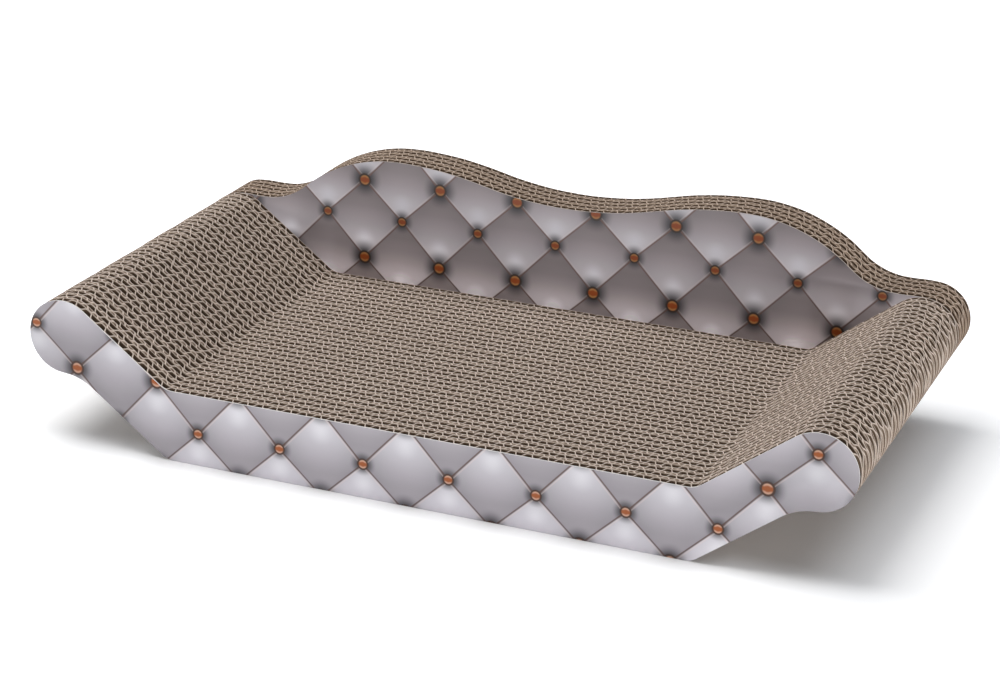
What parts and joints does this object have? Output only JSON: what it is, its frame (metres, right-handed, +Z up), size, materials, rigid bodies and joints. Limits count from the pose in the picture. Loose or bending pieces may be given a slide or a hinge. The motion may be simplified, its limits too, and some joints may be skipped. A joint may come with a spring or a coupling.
{
  "type": "cat scratcher sofa",
  "caption": "Low couch-shaped cat scratcher of corrugated boards glued face to face, with sloping rolled arms, a two-humped backrest and tuft-printed facings.",
  "frame": {"origin": "on the floor, under the middle of the bounding box", "axes": "+X along the couch to its right arm as seen from the front, -Y to the front, +Z up"},
  "size_m": [0.4498, 0.2314, 0.1115],
  "materials": {
    "kraft_board": "matt, bare cut edges",
    "printed_facing": "satin print on white-coated board"
  },
  "bodies": {
    "root": {"front_facing": "printed_facing", "seat_board_01": "kraft_board", "seat_board_02": "kraft_board", "seat_board_03": "kraft_board", "seat_board_04": "kraft_board", "seat_board_05": "kraft_board", "seat_board_06": "kraft_board", "seat_board_07": "kraft_board", "seat_board_08": "kraft_board", "seat_board_09": "kraft_board", "seat_board_10": "kraft_board", "seat_board_11": "kraft_board", "seat_board_12": "kraft_board", "seat_board_13": "kraft_board", "seat_board_14": "kraft_board", "seat_board_15": "kraft_board", "seat_board_16": "kraft_board", "seat_board_17": "kraft_board", "seat_board_18": "kraft_board", "seat_board_19": "kraft_board", "seat_board_20": "kraft_board", "seat_board_21": "kraft_board", "seat_board_22": "kraft_board", "seat_board_23": "kraft_board", "seat_board_24": "kraft_board", "seat_board_25": "kraft_board", "seat_board_26": "kraft_board", "seat_board_27": "kraft_board", "seat_board_28": "kraft_board", "seat_board_29": "kraft_board", "seat_board_30": "kraft_board", "seat_board_31": "kraft_board", "seat_board_32": "kraft_board", "back_facing": "printed_facing", "back_board_01": "kraft_board", "back_board_02": "kraft_board", "back_board_03": "kraft_board", "back_board_04": "kraft_board"}
  },
  "joints": []
}
